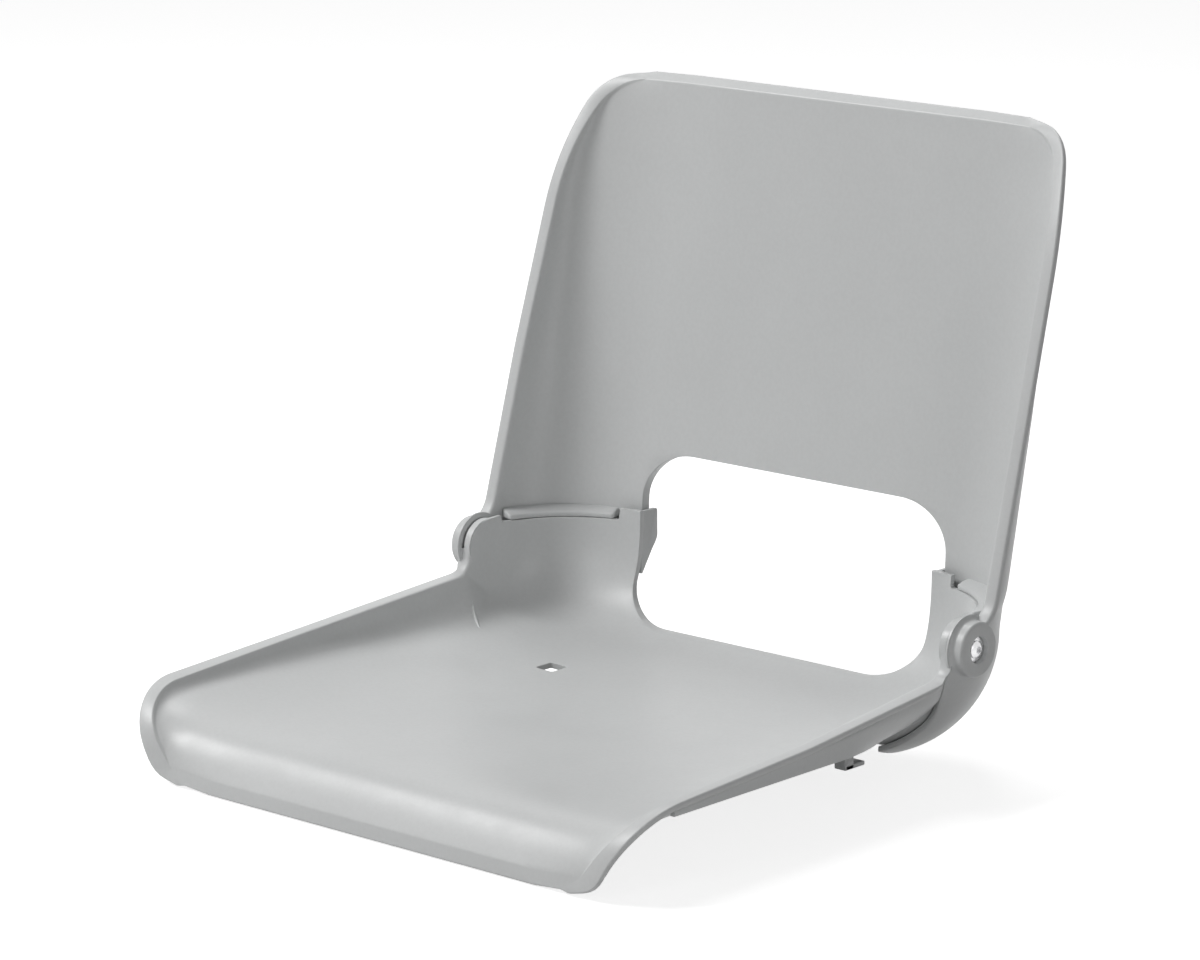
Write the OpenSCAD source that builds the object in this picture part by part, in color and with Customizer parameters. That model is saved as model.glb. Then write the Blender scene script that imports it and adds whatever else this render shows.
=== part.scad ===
// Folding shell seat: a moulded pan and a bucket back that folds forward on two screws.
// X is across the seat, +Y to the rear, +Z up. The origin is the middle of the four
// mounting holes, on the mounting plane under the pan. Both mouldings are drawn about the
// hinge axis, and their rear corners are parts of balls centred on that axis, so that the
// back can turn round the pan with an even gap.

/* [Width] */
// Half of the overall width, over the ears
half_w = 205; // [180:0.5:230]
// Width of each side lip, from the pan's inner edge to the face of the ear
lip_w = 10.5; // [9:0.5:14]

/* [Seat pan] */
// Hinge axis to the front edge of the pan
pan_reach = 299; // [270:1:330]
// Hinge axis down to the lowest edge of the front lip
front_drop = 84.5; // [82:0.5:88]
// Hinge axis back to the front face of the rear upstand
upstand_y = 65; // [60:0.5:70]
// How much less the floor lies below the hinge axis than the upstand lies behind it
floor_rise = 11; // [9:0.5:13]
// Height of the upstand above the hinge axis
upstand_h = 20.7; // [19:0.1:21.5]
// Wall of the pan
pan_wall = 3.4; // [3:0.1:3.6]
// Depth of the side skirts below the hinge axis
skirt_drop = 40.3; // [38:0.5:44]

/* [Backrest] */
// Hinge axis up to the top edge of the back
back_rise = 291.7; // [270:1:310]
// Hinge axis back to the top edge of the back
back_run = 118; // [112:1:122]
// Wall of the back
back_wall = 3.4; // [3:0.1:3.6]
// Depth of the outer face of the rolled lips
lip_depth = 3.8; // [3.2:0.1:4.5]
// Width of the open strip between the window's side and each corner wrap
wrap_strip = 28.1; // [24:0.1:34]

/* [Hinge] */
// Radius of the round ear and of the cheek beside it
ear_r = 16.6; // [16:0.1:17]
// Room between the back of the upstand and the ball that the pan keeps inside
ball_room = 2.4; // [2:0.1:4]
// How far each ball-shaped rear corner stays inside the face of its ear
corner_inset = 5.4; // [5:0.1:6]
// How far the pan's wall beside the hinge stays inside the face of the ear
cheek_inset = 17; // [16:0.5:19]
// Gap between the two mouldings at the rear corners
turn_gap = 0.8; // [0.5:0.1:0.9]
// Nominal radius of the hinge thread
screw_r = 3; // [2.8:0.1:3.1]
// Radius of the hinge screw's domed head
head_r = 5.2; // [4.8:0.1:5.6]
// Outer radius of the bright washer under the head
washer_r = 7.4; // [6.6:0.1:7.6]

/* [Window] */
// Width of the upstand between the window and the notch for the stop tab
jamb_w = 16; // [12:0.5:20]
// Height of the window's sill above the floor of the pan
sill_h = 8; // [6:0.5:12]
// Top of the window above the hinge axis
window_top = 58.5; // [54:0.5:64]
// Side step between the window edges of the upstand and of the back
window_step = 4.5; // [4:0.1:6]

/* [Mounting] */
// Distance between the mounting holes, both ways
mount_pitch = 127; // [120:1:134]
// Floor of the pan above the mounting plane
boss_h = 12; // [11:0.5:16]
// Hinge axis behind the middle of the mounting holes
hinge_y = 140; // [130:1:150]
// Radius of the mounting holes in their threaded inserts
mount_r = 3; // [2.5:0.1:3.2]

/* [Hidden] */

// Colours of the two kinds of surface
shell_grey = [0.72, 0.73, 0.73];
steel = [0.8, 0.8, 0.82];
brass = [0.8, 0.66, 0.35];
nylon = [0.92, 0.91, 0.88];

// Points round each corner of a section, and across the flat half of it
round_steps = 9;
flat_steps = 3;
// Overrun of every cut
over = 1;
// Running clearance of a turning fit, and air gap between faces that pass each other
run_gap = 0.05;
air = 0.3;

// Quarter turn
quarter = 90;

// Places that follow from the width, the upstand and the floor
pan_half_w = half_w - lip_w;
floor_drop = upstand_y - floor_rise;
hinge_z = floor_drop + boss_h;
window_drop = floor_drop - sill_h;

// Balls that form the rear corners: outside of the back, its inside, and the pan's
corner_r = upstand_y + pan_wall + ball_room + turn_gap + back_wall;
corner_x = half_w - corner_inset;
ball_x = corner_x - corner_r;
back_ball_r = corner_r - back_wall;
seat_ball_r = back_ball_r - turn_gap;

// Stop tab on the back: an arc about an upright axis, from one angle to the other. It stands
// in a notch of the upstand, and the jamb lies between that notch and the window.
tab_inset = 85;
tab_centre_x = half_w - tab_inset;
tab_centre_y = -3;
tab_r = upstand_y - tab_centre_y;
tab_from_angle = 17;
tab_to_angle = 66;
notch_room = 14.258;
notch_x = tab_centre_x + tab_r * cos(tab_to_angle) - notch_room;
window_half_w = notch_x - jamb_w;
window_back_w = window_half_w + window_step;
wrap_x = window_back_w + wrap_strip;

// Half width of the pan wall beside the hinge
cheek_x = half_w - cheek_inset;
// Faces of the hinge stack, counted outwards from the middle of the seat
thrust_t = 1.5;
thrust_r = 9;
cheek_face_x = ball_x + seat_ball_r - air - thrust_t / 2;
ear_face_x = cheek_face_x + thrust_t + 2 * run_gap;
recess_depth = 4.2;
recess_x = half_w - recess_depth;
recess_r = washer_r + 0.08 * washer_r;
washer_t = 1;
bush_wall = 1.9;
bush_r = screw_r + bush_wall;
head_h = 3;
insert_wall = 1.4;
insert_r = screw_r + insert_wall;
cheek_skin = 1;

// Rails. Each row is a corner [x, y, z] and the length that its rounding takes from both
// legs. The rim, lip and floor rails of a moulding have the same number of corners.
rail_r = 0.976 * ear_r;
seat_rim = [
    [0.771 * pan_half_w, -0.9973 * pan_reach, -0.982 * front_drop, 0],
    [0.838 * pan_half_w, -0.9926 * pan_reach, -0.897 * front_drop, 0.01 * pan_reach],
    [pan_half_w, -0.9933 * pan_reach, -0.432 * front_drop, 0.43 * front_drop],
    [pan_half_w, -0.5 * pan_reach, -0.312 * front_drop, 0.02 * pan_reach],
    [0.987 * cheek_x + 0.013 * half_w, -rail_r, -0.93 * rail_r, 0.69 * rail_r],
    [cheek_x, -rail_r, rail_r, rail_r],
    [cheek_x, 0.5 * rail_r, 1.03 * rail_r, 0],
];
seat_lip = [
    [0.766 * half_w, -0.9987 * pan_reach, -0.998 * front_drop, 0],
    [0.859 * half_w, -1.0013 * pan_reach, -0.947 * front_drop, 0.03 * pan_reach],
    [0.995 * half_w, -pan_reach, -0.408 * front_drop, 0.48 * front_drop],
    [0.9965 * half_w, -0.5 * pan_reach, -0.307 * front_drop, 0.02 * pan_reach],
    [0.972 * half_w, -1.09 * rail_r, -0.95 * rail_r, 0.55 * rail_r],
    [ball_x + 0.96 * seat_ball_r, -rail_r, rail_r, rail_r],
    [ball_x + 0.96 * seat_ball_r, 0.5 * rail_r, 1.03 * rail_r, 0],
];
seat_floor = [
    [0, -0.9987 * pan_reach, -front_drop, 0],
    [0, -0.9926 * pan_reach, -0.906 * front_drop, 0.003 * pan_reach],
    [0, -0.9348 * pan_reach, -0.922 * floor_drop, 0.047 * pan_reach],
    [0, -0.4 * pan_reach, -1.048 * floor_drop, 0.167 * pan_reach],
    [0, upstand_y, -0.993 * floor_drop, 0.692 * upstand_y],
    [0, upstand_y, 0.85 * upstand_h, 0.15 * upstand_h],
    [0, upstand_y, 1.2 * upstand_h, 0],
];
// Across each section: width and depth of its rounded corner, and how square it is. The widths
// are shares of one span, so that the corners stay true to the balls when the width changes.
corner_span = 194.5;
seat_corner_shares = [0.1, 0.165, 0.41, 0.77, 0.515, 0.355, 0.35];
seat_depth_shares = [0.78, 0.78, 0.9, 0.92, 0.88, 0.9, 0.96];
seat_square_shares = [0.5, 0.5, 1.05, 1.3, 1.15, 1, 1];
// Depth of the lip, which runs out round the cheek
seat_lip_shares = [1, 1, 1, 1, 0.7, 0.15, 0.15];
seat_counts = [2, 1, 2, 5, 4, 1, 5, 6, 2, 4];

back_rim = [
    [0.698 * half_w, 0.994 * back_run, 0.9983 * back_rise, 0],
    [0.732 * half_w, 0.949 * back_run, 0.9825 * back_rise, 0.007 * back_rise],
    [0.849 * half_w, 0.9025 * back_run, 0.972 * back_rise, 0.068 * back_rise],
    [0.934 * half_w, 0.678 * back_run, 0.826 * back_rise, 0.11 * back_rise],
    [0.951 * half_w, 0.364 * back_run, 0.418 * back_rise, 0.017 * back_rise],
    [0.957 * half_w, 0.76 * ear_r, 1.054 * ear_r, 0.54 * ear_r],
    [0.957 * half_w, 0, 0.72 * ear_r, 0],
];
back_lip = [
    [0.722 * half_w, 0.996 * back_run, 0.9976 * back_rise, 0],
    [0.78 * half_w, 0.9746 * back_run, 0.9925 * back_rise, 0.017 * back_rise],
    [0.893 * half_w, 0.8856 * back_run, 0.984 * back_rise, 0.07 * back_rise],
    [0.9756 * half_w, 0.6695 * back_run, 0.823 * back_rise, 0.12 * back_rise],
    [0.994 * half_w, 0.364 * back_run, 0.418 * back_rise, 0.017 * back_rise],
    [half_w, 0.783 * ear_r, 1.072 * ear_r, 0.54 * ear_r],
    [0.998 * half_w, 0, 0.72 * ear_r, 0],
];
back_floor = [
    [0, back_run, back_rise, 0],
    [0, 0.9517 * back_run, 0.984 * back_rise, 0.003 * back_rise],
    [0, 0.9296 * back_run, 0.93 * back_rise, 0.036 * back_rise],
    [0, 0.8814 * back_run, 0.809 * back_rise, 0.08 * back_rise],
    [0, 0.7458 * back_run, 0.418 * back_rise, 0.017 * back_rise],
    [0, 1.0056 * back_ball_r, 0.096 * back_rise, 0.031 * back_rise],
    [0, 1.002 * back_ball_r, 0.014 * back_rise, 0],
];
back_corner_shares = [0.14, 0.17, 0.26, 0.35, 0.371, 0.371, 0.36];
back_depth_shares = [0.78, 0.78, 0.88, 0.91, 0.92, 0.92, 0.94];
back_square_shares = [0.5, 0.5, 0.9, 1, 1, 1, 1];
back_counts = [1, 1, 1, 5, 1, 5, 3, 1, 3, 4, 1];

// Corner wrap: its sweep about the hinge axis, and how far its front edge leads near the ear
wrap_sweep_angle = 111.4;
wrap_lead_angle = 38;
wrap_rows = 10;
hub_r = 0.36 * ear_r;
// Angle about the hinge axis at which the side skirt steps in behind the wrap
step_angle = -124.5;

function xyz(c) = [c[0], c[1], c[2]];
function unit(v) = v / norm(v);
function mix(a, b, t) = a + (b - a) * t;
function ease(t) = t <= 0 ? 0 : t >= 1 ? 1 : t * t * (3 - 2 * t);
function last(v) = v[len(v) - 1];
function mirrored(p) = [-p[0], p[1], p[2]];
function reversed(v) = [for (i = [len(v) - 1:-1:0]) v[i]];

// Point on a rail's rounded corner, an arc where both legs are alike
function toward(a, b, d) = xyz(a) + unit(xyz(b) - xyz(a)) * d;
function bend_at(rail, i, t) =
    let (s = toward(rail[i], rail[i - 1], rail[i][3]),
         e = toward(rail[i], rail[i + 1], rail[i][3]),
         p = xyz(rail[i]),
         w = sqrt(max(0, 1 + unit(p - s) * unit(e - p)) / 2),
         a = (1 - t) * (1 - t),
         b = 2 * w * t * (1 - t),
         c = t * t)
    (a * s + b * p + c * e) / (a + b + c);
// Point on a straight leg, between the roundings at its ends
function leg_at(rail, i, t) =
    mix(i == 0 ? xyz(rail[0]) : toward(rail[i], rail[i + 1], rail[i][3]),
        i == len(rail) - 2 ? xyz(last(rail)) : toward(rail[i + 1], rail[i], rail[i + 1][3]), t);
function rail_at(rail, st) =
    st[0] % 2 == 0 ? leg_at(rail, st[0] / 2, st[1]) : bend_at(rail, (st[0] + 1) / 2, st[1]);
// Stations along a rail: leg, bend, leg and so on, each with its own number of steps
function stations(counts) =
    concat([for (k = [0:len(counts) - 1]) for (j = [0:counts[k] - 1]) [k, j / counts[k]]],
           [[len(counts) - 1, 1]]);
// Place of a station among the rail's corners, as a number that grows by one per corner
function place(st, n) =
    st[0] % 2 == 1 ? (st[0] + 1) / 2 - 1 / 4 + st[1] / 2 :
    let (i = st[0] / 2, lo = i == 0 ? 0 : i + 1 / 4, hi = i == n - 2 ? n - 1 : i + 3 / 4)
    mix(lo, hi, st[1]);
// Smooth value between the shares given at the corners
function smooth(shares, s) =
    let (n = len(shares), i = min(floor(s), n - 2), f = s - i,
         a = shares[max(i - 1, 0)], b = shares[i], c = shares[i + 1], d = shares[min(i + 2, n - 1)])
    (2 * b + (c - a) * f + (2 * a - 5 * b + 4 * c - d) * f * f
     + (3 * b - a - 3 * c + d) * f * f * f) / 2;

// Lean of the walls inwards, just below the rim
rim_draft = 0.6;
// One half section, from the rim across its rounded corner to the middle of the seat
function half_section(rim, floor_pt, corner_w, depth_share, square) =
    let (a = [rim[1], rim[2]], c = [floor_pt[1], floor_pt[2]], d = norm(c - a), n = (c - a) / d,
         r2 = depth_share * d)
    concat([rim],
           [for (k = [0:round_steps])
               let (t = quarter * k / round_steps,
                    x = rim[0] - rim_draft - corner_w + corner_w * pow(max(0, cos(t)), 1 / square),
                    p = a + n * (d - r2 + r2 * pow(sin(t), 1 / square)))
               [x, p[0], p[1]]],
           [for (k = [1:flat_steps])
               [(rim[0] - rim_draft - corner_w) * (1 - k / flat_steps), c[0], c[1]]]);
function shell_rows(rim, floor_rail, corners, depths, squares, counts) =
    [for (st = stations(counts))
        let (s = place(st, len(rim)), a = rail_at(rim, st))
        half_section(a, rail_at(floor_rail, st), smooth(corners, s) * corner_span,
                     smooth(depths, s), smooth(squares, s))];

// Outward normal of a grid of rows. The end rows and the rim take that of their neighbours,
// as steps are too short there to tell.
rim_cols = 2;
band_rows = 2;
function grid_normal(g, i, j) =
    let (n = len(g), k = min(max(i, band_rows), n - 1 - band_rows), h = max(j, rim_cols),
         dv = g[k + 1][h] - g[k - 1][h], du = g[k][min(h + 1, len(g[0]) - 1)] - g[k][h - 1])
    unit(cross(dv, du));
// Direction in which a lip is thick
function lip_dir(g, i) =
    let (n = len(g), t = g[min(i + 1, n - 1)][0] - g[max(i - 1, 0)][0], k = norm([t[1], t[2]]))
    [0, t[2] / k, -t[1] / k];

// Closed half loop of a row: inner face, lip, outer face. side is 1 or -1 for the way out.
function half_loop(g, i, lip, wall, depth, side) =
    let (m = len(g[0]), q = lip_dir(g, i) * -side,
         outer = [for (j = [0:m - 1]) g[i][j] + grid_normal(g, i, j) * wall * side],
         under = outer[0] + q * depth * (1 - grid_normal(g, i, 0) * side * q))
    concat(reversed(g[i]), [lip, lip + q * depth, under, mix(under, outer[2], 1 / 2)],
           [for (j = [2:m - 1]) outer[j]]);
function full_loop(half) =
    concat(half, [for (k = [len(half) - 2:-1:1]) mirrored(half[k])]);

// Solid skinned over a list of alike loops, from one end cap to the other
function skin_faces(rows, count) =
    [for (i = [0:rows - 2]) for (j = [0:count - 1])
        let (a = i * count + j, b = i * count + (j + 1) % count)
        each [[a, b + count, a + count], [a, b, b + count]]];
// End cap of a full loop, as quads between its inner and outer faces, and their mirror
function cap_quads(m) = concat([for (k = [0:m - 2]) [k, k + 1, 2 * m - k, 2 * m + 1 - k]],
                               [[m - 1, m, m + 1, m + 2]]);
function other_side(k, m) = k == 0 || k == 2 * m + 1 ? k : 4 * m + 2 - k;
function cap_faces(base, m) =
    [for (q = cap_quads(m))
        let (w = [for (k = q) other_side(k, m)])
        each [[q[0], q[1], q[2]] + base * [1, 1, 1], [q[0], q[2], q[3]] + base * [1, 1, 1],
              [w[2], w[1], w[0]] + base * [1, 1, 1], [w[3], w[2], w[0]] + base * [1, 1, 1]]];
module shell_solid(loops, m) {
    count = len(loops[0]);
    rows = len(loops);
    faces = concat(skin_faces(rows, count), cap_faces((rows - 1) * count, m),
                   [for (f = cap_faces(0, m)) reversed(f)]);
    along = loops[1][0] - loops[0][0];
    outward = cross(loops[0][1] - loops[0][0], along) * (loops[0][m + 4] - loops[0][m - 3]);
    polyhedron(points = [for (l = loops) each l],
               faces = outward > 0 ? faces : [for (f = faces) reversed(f)]);
}
// Closed tube of loops with plain ends, the loops running out along one face and back
module strip_solid(loops) {
    count = len(loops[0]);
    rows = len(loops);
    ends = [for (k = [0:count / 2 - 2])
        each [[k, k + 1, count - 2 - k], [k, count - 2 - k, count - 1 - k]]];
    faces = concat(skin_faces(rows, count), [for (f = ends) reversed(f)],
                   [for (f = ends) f + (rows - 1) * count * [1, 1, 1]]);
    polyhedron(points = [for (l = loops) each l], faces = [for (f = faces) reversed(f)]);
}

// Cylinder along X between two places, and a ball about the hinge axis
module along_x(r, x0, x1) {
    translate([x0, 0, 0]) rotate([0, 90, 0]) cylinder(r = r, h = x1 - x0, $fn = 64);
}
module ball(r) {
    translate([ball_x, 0, 0]) rotate([0, 90, 0]) sphere(r = r, $fn = 96);
}
module both_sides() {
    children();
    mirror([1, 0, 0]) children();
}
module box(low, high) {
    translate(low) cube(high - low);
}
// Prism along Y through an outline drawn in X and Z
module through_y(outline, y0, y1) {
    translate([0, y1, 0]) rotate([90, 0, 0]) linear_extrude(y1 - y0) polygon(outline);
}
// Prism along X through an outline drawn in Y and Z
module through_x(outline, x0, x1) {
    translate([x0, 0, 0]) rotate([90, 0, 90]) linear_extrude(x1 - x0) polygon(outline);
}

// Window outline: straight sides and elliptical corners, up or down from a middle height
corner_steps = 6;
window_corner_share = 0.32;
window_tall_share = 0.52;
function window_end(half, z_end, z_open) =
    let (rx = window_corner_share * half, rz = window_tall_share * abs(z_end), s = sign(z_end),
         arc = [for (k = [0:corner_steps]) let (t = quarter * k / corner_steps)
                   [half - rx + rx * cos(t), z_end - s * rz + s * rz * sin(t)]])
    concat([[half, z_open]], arc,
           [for (k = [corner_steps:-1:0]) [-arc[k][0], arc[k][1]]], [[-half, z_open]]);

// Seat
notch_depth = 7.8;
notch_z = upstand_h - notch_depth;
notch_y = 0.64 * ear_r;
seat_cut_y = -19.8;
skirt_wall = 0.9 * pan_wall;
skirt_rear_wall = 1.6 * pan_wall;
skirt_inset = 3;
skirt_x = half_w - skirt_inset;
skirt_front = -0.92 * pan_reach;
skirt_bend = -0.4 * pan_reach;
skirt_cols = 7;
skirt_from_angle = 20.4;
skirt_to_angle = 70;
skirt_blend_steps = 6;
skirt_blend_share = 0.8;
// Turns about the hinge axis of the part that reaches in behind the corner wrap
skirt_swing_angles = [1, 13, 26];
step_r = seat_cut_y / cos(step_angle);

seat_rows = shell_rows(seat_rim, seat_floor, seat_corner_shares, seat_depth_shares,
                       seat_square_shares, seat_counts);
seat_stations = stations(seat_counts);
seat_loops = [for (i = [0:len(seat_rows) - 1])
    full_loop(half_loop(seat_rows, i, rail_at(seat_lip, seat_stations[i]), pan_wall,
                        lip_depth * smooth(seat_lip_shares, place(seat_stations[i], len(seat_rim))),
                        -1))];

// Side skirt: upright along the seat, turning into the ball-shaped corner at the rear
function skirt_flat(y, dx) =
    [for (k = [0:skirt_cols])
        let (top = seat_lip[4][2] + (y - seat_lip[4][1]) * (seat_lip[2][2] - seat_lip[4][2])
                   / (seat_lip[2][1] - seat_lip[4][1]) - lip_depth / 2)
        [skirt_x - dx, y, mix(top, -skirt_drop, k / skirt_cols)]];
function step_at(r, swing) = r < step_r ? -acos(seat_cut_y / r) + swing : step_angle + swing;
function skirt_ball(ball_r, swing) =
    [for (k = [0:skirt_cols])
        let (t = mix(skirt_from_angle, skirt_to_angle, k / skirt_cols), r = ball_r * sin(t),
             a = step_at(r, swing))
        [ball_x + ball_r * cos(t), r * cos(a), r * sin(a)]];
function skirt_loop(a, b) = concat(a, reversed(b));
skirt_loops = concat(
    [for (j = [0:2]) let (y = mix(skirt_front, skirt_bend, j / 3))
        skirt_loop(skirt_flat(y, 0), skirt_flat(y, skirt_wall))],
    [for (j = [0:skirt_blend_steps])
        let (f = j / skirt_blend_steps, w = ease(f),
             y = mix(skirt_bend, seat_cut_y, skirt_blend_share * f),
             fo = skirt_flat(y, 0), fi = skirt_flat(y, skirt_wall),
             bo = skirt_ball(corner_r, 0), bi = skirt_ball(corner_r - skirt_wall, 0))
        skirt_loop([for (k = [0:skirt_cols]) mix(fo[k], bo[k], w)],
                   [for (k = [0:skirt_cols]) mix(fi[k], bi[k], w)])],
    [for (s = skirt_swing_angles)
        skirt_loop(skirt_ball(seat_ball_r, s), skirt_ball(seat_ball_r - skirt_rear_wall, s))]);

// Underside: bosses, ribs, hook lugs and the drain hole
boss_r = 9;
insert_len = 8;
mount_insert_r = mount_r + insert_wall;
rib_t = 2.6;
rib_bottom = -0.97 * hinge_z;
rib_front = -0.82 * pan_reach;
rib_rear = -0.1 * pan_reach;
lug_inner = 0.746 * half_w;
lug_w = 8;
lug_t = 8;
lug_reach = 18;
lug_foot = 2.6;
lug_front = -1.05 * upstand_y;
lug_top = -0.765 * hinge_z;
// One drain hole, in the left rear corner, the lowest place of the pan
drain_x = -95;
drain_y = -42;
drain_w = 14;
mount_places = [for (sx = [-1, 1]) for (sy = [-1, 1])
    [sx * mount_pitch / 2, -hinge_y + sy * mount_pitch / 2]];
pocket_rear = 1.252 * upstand_y;
pocket_wall = 3;

// Middle of the pan's wall along its centre line, and the part of it between two places
pan_line = [for (r = seat_rows) if (last(r)[1] < upstand_y / 3) [last(r)[1], last(r)[2] - pan_wall / 2]];
function pan_mid(y) = lookup(y, pan_line);
function pan_part(y0, y1) =
    concat([[y0, pan_mid(y0)]], [for (p = pan_line) if (p[0] > y0 + over && p[0] < y1 - over) p],
           [[y1, pan_mid(y1)]]);

// Round cheek beside the ear, with a bevelled face that stays inside the turning ball
cheek_bevel_r = 0.72 * ear_r;
module cheek() {
    edge_x = ball_x + sqrt(seat_ball_r * seat_ball_r - ear_r * ear_r) - air / 3;
    along_x(ear_r, cheek_x + cheek_skin / 2, edge_x);
    translate([edge_x, 0, 0]) rotate([0, 90, 0])
        cylinder(r1 = ear_r, r2 = cheek_bevel_r, h = cheek_face_x - edge_x, $fn = 64);
}
// Space outside the ball, behind the skirt's step, that the back needs to turn
room_angle = step_angle + 2;
room_y = seat_cut_y + 2 * air;
module turning_room() {
    difference() {
        through_x([[room_y, 2 * ear_r], [room_y, room_y * tan(room_angle)],
                   [2 * corner_r * cos(room_angle), 2 * corner_r * sin(room_angle)],
                   [2 * corner_r, 2 * corner_r * sin(room_angle)], [2 * corner_r, 2 * ear_r]],
                  ball_x, half_w + over);
        ball(seat_ball_r - air);
    }
}
module pocket_plate() {
    through_x([[upstand_y + pan_wall / 2, 0.97 * upstand_h], [pocket_rear, 0.97 * upstand_h],
               [pocket_rear, 0.05 * upstand_h], [0.936 * pocket_rear, -0.28 * upstand_h],
               [0.83 * pocket_rear, -1.06 * upstand_h],
               [upstand_y + pan_wall / 2, -1.12 * upstand_h]],
              window_half_w - over, window_half_w + pocket_wall);
}
module hook_lug() {
    box([lug_inner, lug_front, -hinge_z], [lug_inner + lug_w, lug_front + lug_t, lug_top]);
    box([lug_inner, lug_front, -hinge_z],
        [lug_inner + lug_w, lug_front + lug_reach, lug_foot - hinge_z]);
}
module long_rib(x) {
    through_x(concat([[rib_rear, rib_bottom], [rib_front, rib_bottom]], pan_part(rib_front, rib_rear)),
              x - rib_t / 2, x + rib_t / 2);
}
module cross_rib(y) {
    box([-mount_pitch / 2, y - rib_t / 2, rib_bottom], [mount_pitch / 2, y + rib_t / 2, pan_mid(y)]);
}
module mount_boss(p) {
    translate([p[0], p[1], -hinge_z]) cylinder(r = boss_r, h = hinge_z + pan_mid(p[1]), $fn = 48);
}
module seat_shell() {
    color(shell_grey)
    difference() {
        union() {
            difference() {
                shell_solid(seat_loops, len(seat_rows[0]));
                both_sides() turning_room();
            }
            both_sides() {
                strip_solid(skirt_loops);
                cheek();
                pocket_plate();
                hook_lug();
            }
            for (p = mount_places) mount_boss(p);
            for (sx = [-1, 1]) long_rib(sx * mount_pitch / 2);
            for (sy = [-1, 1]) cross_rib(-hinge_y + sy * mount_pitch / 2);
        }
        through_y(window_end(window_half_w, -window_drop, upstand_h + over), 0, pocket_rear + over);
        both_sides() {
            box([notch_x, notch_y, notch_z], [half_w, pocket_rear, upstand_h + over]);
            along_x(insert_r, cheek_x + cheek_skin, corner_x + over);
            along_x(thrust_r + air, cheek_face_x, corner_x + over);
        }
        box([drain_x - drain_w / 2, drain_y - drain_w / 2, -hinge_z - over],
            [drain_x + drain_w / 2, drain_y + drain_w / 2, -floor_drop / 2]);
        for (p = mount_places)
            translate([p[0], p[1], -hinge_z - over])
                cylinder(r = mount_insert_r, h = insert_len + over, $fn = 48);
    }
}

// Backrest
function wrap_lead_at(r) =
    let (x = min(1, max(0, (r - 1.2 * ear_r) / (0.42 * back_ball_r)))) wrap_lead_angle * (1 - x) * (1 - x);
function wrap_point(x, r, f) =
    let (a = -f * (wrap_sweep_angle + wrap_lead_at(r))) [x, r * cos(a), r * sin(a)];
function wrap_row(f) =
    let (t0 = asin(hub_r / back_ball_r))
    concat([wrap_point(ball_x + back_ball_r * cos(t0), hub_r, f)],
           [for (k = [0:round_steps])
               let (t = mix(1.4 * t0, quarter, k / round_steps))
               wrap_point(ball_x + back_ball_r * cos(t), back_ball_r * sin(t), f)],
           [for (k = [1:flat_steps]) wrap_point(ball_x * (1 - k / flat_steps), back_ball_r, f)]);
back_upper = shell_rows(back_rim, back_floor, back_corner_shares, back_depth_shares,
                        back_square_shares, back_counts);
back_stations = stations(back_counts);
back_rows = concat(back_upper, [for (k = [0:wrap_rows]) wrap_row(k / wrap_rows)]);
function back_lip_at(i) =
    i < len(back_stations) ? rail_at(back_lip, back_stations[i]) :
    let (p = back_rows[i][0]) [0.998 * half_w, 1.2 * p[1], 1.2 * p[2]];
back_loops = [for (i = [0:len(back_rows) - 1])
    full_loop(half_loop(back_rows, i, back_lip_at(i), back_wall, lip_depth, 1))];

strip_end = -2;
module stop_tab() {
    translate([tab_centre_x, tab_centre_y, 0]) rotate([0, 0, tab_from_angle])
        rotate_extrude(angle = tab_to_angle - tab_from_angle, $fn = 96)
            polygon([[tab_r, notch_z + air], [tab_r + 1.3 * notch_depth, notch_z + air],
                     [tab_r + 1.3 * notch_depth, notch_z + notch_depth],
                     [tab_r + 0.5 * notch_depth, notch_z + 0.9 * notch_depth],
                     [tab_r, notch_z + 0.35 * notch_depth]]);
}
module backrest_shell() {
    color(shell_grey)
    difference() {
        union() {
            shell_solid(back_loops, len(back_rows[0]));
            both_sides() {
                difference() {
                    along_x(ear_r, cheek_x, half_w);
                    ball(back_ball_r);
                }
                stop_tab();
            }
        }
        through_y(window_end(window_back_w, window_top, -2 * corner_r), -2 * corner_r, 2 * corner_r);
        both_sides() {
            box([window_back_w - over, -2 * corner_r, -2 * corner_r], [wrap_x, 2 * corner_r, strip_end]);
            along_x(bush_r + run_gap, cheek_x, half_w + over);
            along_x(thrust_r + air, cheek_x, ear_face_x);
            along_x(recess_r, recess_x, half_w + over);
        }
    }
}

// Hinge hardware, drawn for the right-hand side
module hinge_screw() {
    color(steel)
    difference() {
        union() {
            along_x(screw_r - run_gap, cheek_x + cheek_skin + run_gap, recess_x + washer_t + 2 * run_gap);
            intersection() {
                along_x(head_r, recess_x + washer_t + 2 * run_gap, half_w);
                translate([recess_x + washer_t + head_h - 1.7 * head_r, 0, 0])
                    rotate([0, 90, 0]) sphere(r = 1.7 * head_r, $fn = 64);
            }
        }
        translate([half_w - head_h, 0, 0]) rotate([0, 90, 0])
            cylinder(r = 0.44 * head_r, h = head_h, $fn = 6);
    }
}
module ring(r_out, r_in, x0, x1) {
    difference() {
        along_x(r_out, x0, x1);
        along_x(r_in, x0 - over, x1 + over);
    }
}
module hinge_washer() {
    color(steel) ring(washer_r, screw_r + run_gap, recess_x + run_gap, recess_x + washer_t + run_gap);
}
module hinge_bush() {
    color(steel) ring(bush_r, screw_r + run_gap, cheek_face_x, recess_x + run_gap);
}
module thrust_washer() {
    color(nylon) ring(thrust_r, bush_r + run_gap, cheek_face_x + run_gap, ear_face_x - run_gap);
}
module hinge_insert() {
    color(brass) ring(insert_r, screw_r, cheek_x + cheek_skin, cheek_face_x);
}
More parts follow.
